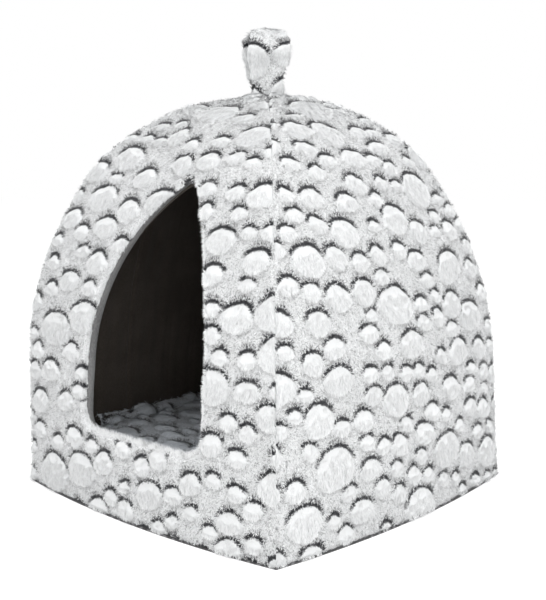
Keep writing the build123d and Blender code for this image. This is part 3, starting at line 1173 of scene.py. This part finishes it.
def pile_of_cushion():
    """Pile over the cushion's top and sides, combed towards the doorway."""
    rng = np.random.default_rng(CUSHION_SEED + PILE_SEED_STEP)
    root, normal = scatter(cushion.data, CUSHION_DENSITY, rng, lambda r, n: n[:, 2] > -0.5)
    distance, fan, shade = pebble_field(root[:, 0], root[:, 1], cushion_pebbles)
    face = on_top(normal)
    beside = face < 0.5
    away = np.array((0.0, 1.0, 0.0)) * face[:, None] + UPRIGHT * (1 - face)[:, None]
    # The cushion's pile takes the same painted shade and cool tint as its skin.
    pile_on("cushion_pile", "cushion", root - normal * ROOT_SINK, normal,
            unit(np.cross(away, normal)), (np.where(beside, -0.01, distance), fan, shade), rng,
            tint_and_painted_shade=CUSHION_TINT_AND_PAINTED_SHADE, trim=np.where(beside, SIDE_TRIM, 1.0))


pile_of_cushion()

# %% [markdown]
# The carry loop is a strap of the same plush, bent over and sewn into the peak at both ends.
# It is drawn as a flat rounded section that runs up one leg, over the bend and down the other.
# The strap is widest at the bend and gathered where it is sewn in, so the section narrows
# towards its ends, and the bend's upper corners are round.

# %% The carry loop
LOOP_TOP = 0.488
LOOP_BEND = 0.019
LOOP_THICKNESS = 0.0085
LOOP_WIDTH = 0.048
LOOP_FOOT_WIDTH = 0.034
LOOP_ROUND = 0.019
LOOP_TURN = math.radians(-35.0)
LOOP_ROOT = 0.419
LOOP_LEG_GAP = 0.0046
LOOP_SQUARENESS = 0.6
LOOP_SEED = 67
LOOP_DENSITY = PILE_DENSITY * 1.2
LOOP_LOOK = np.array((math.cos(LOOP_TURN), math.sin(LOOP_TURN), 0))
LOOP_BROAD = np.array((-LOOP_LOOK[1], LOOP_LOOK[0], 0))


def loop_path(count=110):
    """The strap's middle line in its own side plane: sideways and up, foot to foot."""
    reach = LOOP_BEND - LOOP_THICKNESS / 2
    middle = LOOP_TOP - LOOP_BEND
    bend = np.linspace(math.radians(200), math.radians(-20), 60)
    over = np.stack([reach * np.cos(bend), middle + reach * np.sin(bend)], -1)
    leg = np.linspace(0, 1, 40)[:-1, None]
    start, knee = np.array((-LOOP_LEG_GAP, LOOP_ROOT)), over[0]
    pull = np.array((-LOOP_LEG_GAP * 1.5, middle - reach * 0.95))
    rising = (1 - leg) ** 2 * start + 2 * leg * (1 - leg) * pull + leg ** 2 * knee
    falling = rising[::-1] * (-1, 1)
    return evenly(np.vstack([rising, over, falling]), count)


def loop_half_width(z):
    """Half the strap's width at a height."""
    grown = smooth(z, LOOP_ROOT + 0.004, LOOP_TOP - LOOP_BEND)
    half = (LOOP_FOOT_WIDTH + (LOOP_WIDTH - LOOP_FOOT_WIDTH) * grown) / 2
    over = np.clip((z - (LOOP_TOP - LOOP_ROUND)) / LOOP_ROUND, 0, 1)
    return half - LOOP_ROUND * (1 - np.sqrt(1 - over ** 2)) * 0.8


def loop_surface(around=72):
    """The strap's points, stations along it by points round its section."""
    path = loop_path()
    run = unit(np.gradient(path, axis=0))
    side = np.stack([-run[:, 1], run[:, 0]], -1)
    turn = np.linspace(0, math.tau, around)
    flat, wide = (np.sign(way) * np.abs(way) ** LOOP_SQUARENESS
                  for way in (np.sin(turn), np.cos(turn)))
    flat = flat * LOOP_THICKNESS / 2
    plane = path[:, None, :] + side[:, None, :] * flat[None, :, None]
    breadth = wide[None, :] * loop_half_width(path[:, 1])[:, None]
    return (plane[..., 0:1] * LOOP_LOOK + plane[..., 1:2] * UPRIGHT
            + breadth[..., None] * LOOP_BROAD)


loop = sheet_from_grid("loop_plush", loop_surface())
merge_in_edit_mode()
bpy.ops.mesh.select_all(action="DESELECT")
bpy.ops.mesh.select_non_manifold()
bpy.ops.mesh.fill()
bpy.ops.mesh.select_all(action="SELECT")
bpy.ops.mesh.normals_make_consistent(inside=False)
bpy.ops.object.mode_set(mode="OBJECT")
bpy.ops.object.shade_smooth()
print("loop", len(loop.data.vertices), "points")

# %% The loop's pebbles and pile
LOOP_PEBBLES_WITHIN = (0.03, 0.40, 0.50)
LOOP_SWELL = 0.6
LOOP_DROP = 0.001
LOOP_WAVE = 0.0008
loop_pebbles = throw_pebbles(LOOP_SEED, *LOOP_PEBBLES_WITHIN)


def loop_field(points):
    """Pebbles on the strap, by its breadth and height."""
    return pebble_field(points @ LOOP_BROAD, points[:, 2], loop_pebbles)


points, normals = coordinates(loop.data), point_normals(loop.data)
distance, fan, shade = loop_field(points)
lift = LOOP_SWELL * swelling(distance, fan, shade) - LOOP_DROP + LOOP_WAVE * waves(points, 0.03, 9)
move_points(loop.data, points + normals * lift[:, None])
carry_numbers(loop.data, distance, fan[:, 1], shade)
finish_piece(loop, "carry_loop", "plush", skin_finish, "carry_loop")


def pile_of_loop():
    """Pile over the strap, combed down."""
    rng = np.random.default_rng(LOOP_SEED + PILE_SEED_STEP)
    root, normal = scatter(loop.data, LOOP_DENSITY, rng, lambda r, n: r[:, 2] > PEAK)
    upright = UPRIGHT + 0.2 * unit(root * (1, 1, 0))
    pile_on("loop_pile", "carry_loop", root - normal * ROOT_SINK, normal,
            unit(np.cross(upright, normal)), loop_field(root), rng)


pile_of_loop()

# %% [markdown]
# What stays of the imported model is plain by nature: sheets of foam, the floor's lining, and
# the cloth under the bed and the cushion. They keep their shapes and get real surfaces: open
# cells in the foam, brushed lining, and a woven underside with rows of small rubber dots.

# %% Foam, floor lining and undersides
def open_foam():
    """Cream foam with open cells."""
    material, tree, shader = new_finish("open_foam", roughness=0.9)
    place = object_space(tree)
    cells = add_node(tree, "TexVoronoi", {"Vector": place, "Scale": 700.0}).outputs["Distance"]
    colours = blended(tree, ramp(tree, cells, 0.1, 0.55), (0.52, 0.50, 0.44), (0.78, 0.76, 0.68))
    tree.links.new(colours, shader.inputs["Base Color"])
    bumped(tree, shader, cells, 0.0008)
    return material


def grip_cloth():
    """Dark woven cloth with rubber dots, for whatever lies on a floor."""
    material, tree, shader = new_finish("grip_cloth", roughness=0.8)
    place = object_space(tree)
    threads = {"Vector": place, "Scale": 260.0, "Distortion": 0.6}
    weave = sums(tree, "MAXIMUM", *(add_node(tree, "TexWave", threads, bands_direction=way)
                                    .outputs["Fac"] for way in "XY"))
    dots = add_node(tree, "TexVoronoi", {"Vector": stretched(tree, place, (1, 1, 0)),
                                         "Scale": 90.0, "Randomness": 0.0}).outputs["Distance"]
    dot = ramp(tree, dots, 0.16, 0.22, 1.0, 0.0)
    cloth = blended(tree, weave, (0.030, 0.030, 0.031), (0.075, 0.075, 0.078))
    tree.links.new(blended(tree, dot, cloth, (0.20, 0.20, 0.205)), shader.inputs["Base Color"])
    bumped(tree, shader, sums(tree, "ADD", weave, sums(tree, "MULTIPLY", dot, 3.0)), 0.0004)
    return material


foam_finish, grip_finish = open_foam(), grip_cloth()
foams = [node for name, node in nodes.items() if name.endswith("_foam")]
for foam in foams:
    dress(foam, foam_finish)
for name, material in (("floor_lining", lining_finish), ("base_cover", grip_finish),
                       ("cushion_base", grip_finish)):
    dress(nodes[name], material)
print("carried over", sorted(n for n in nodes if not nodes[n].hide_render))

# %% [markdown]


# %% [markdown]
# The stage is a pale floor under soft studio light. The background is white for the camera
# and in reflections only, so that it adds no light to the object.

# %% The stage and the light
WORLD_LIGHT = 0.86
FLOOR_HALF = 6.0
FLOOR_GREY = 0.90
FLOOR_LIFT = 0.22
LAMPS = (("key", (2.1, -1.0, 0.95), 28), ("fill", (-0.7, -2.2, 0.9), 12),
         ("top", (0.5, -0.3, 2.2), 17))
LAMP_SIZE = 1.8
LAMP_AIM = np.array((0, 0, 0.2))


def seen_directly(tree):
    """1 for rays from the camera, a mirror or glass, and 0 for rays that carry light."""
    path = add_node(tree, "LightPath")
    seen = sums(tree, "MAXIMUM", path.outputs["Is Camera Ray"], path.outputs["Is Glossy Ray"])
    return sums(tree, "MAXIMUM", seen, path.outputs["Is Transmission Ray"])


world = bpy.data.worlds.new("studio")
bpy.context.scene.world = world
world.use_nodes = True
sky = world.node_tree
strength = add_node(sky, "MapRange", {"Value": seen_directly(sky), "To Min": WORLD_LIGHT,
                                      "To Max": 1.0})
background = sky.nodes["Background"]
background.inputs["Color"].default_value = (1, 1, 1, 1)
sky.links.new(strength.outputs["Result"], background.inputs["Strength"])

bpy.ops.mesh.primitive_plane_add(size=2 * FLOOR_HALF)
floor = bpy.context.object
floor.name = "floor"
paper, tree, shader = new_finish("floor_paper", roughness=1.0, specular=0.0)
shader.inputs["Base Color"].default_value = (FLOOR_GREY, FLOOR_GREY, FLOOR_GREY, 1)
lifted = sums(tree, "MULTIPLY", seen_directly(tree), FLOOR_LIFT)
white = add_node(tree, "Emission", {"Color": (1, 1, 1, 1), "Strength": lifted})
both = add_node(tree, "AddShader", {0: shader.outputs[0], 1: white.outputs[0]})
tree.links.new(both.outputs[0], tree.nodes["Material Output"].inputs["Surface"])
floor.data.materials.append(paper)


for name, place, power in LAMPS:
    bpy.ops.object.light_add(type="AREA", location=place)
    lamp = bpy.context.object
    lamp.name = name
    lamp.data.size = LAMP_SIZE
    lamp.data.energy = power
    away = place - LAMP_AIM
    lamp.rotation_euler = (math.acos(away[2] / np.linalg.norm(away)), 0,
                           math.atan2(away[1], away[0]) + math.pi / 2)
bpy.context.scene.view_settings.view_transform = "Standard"
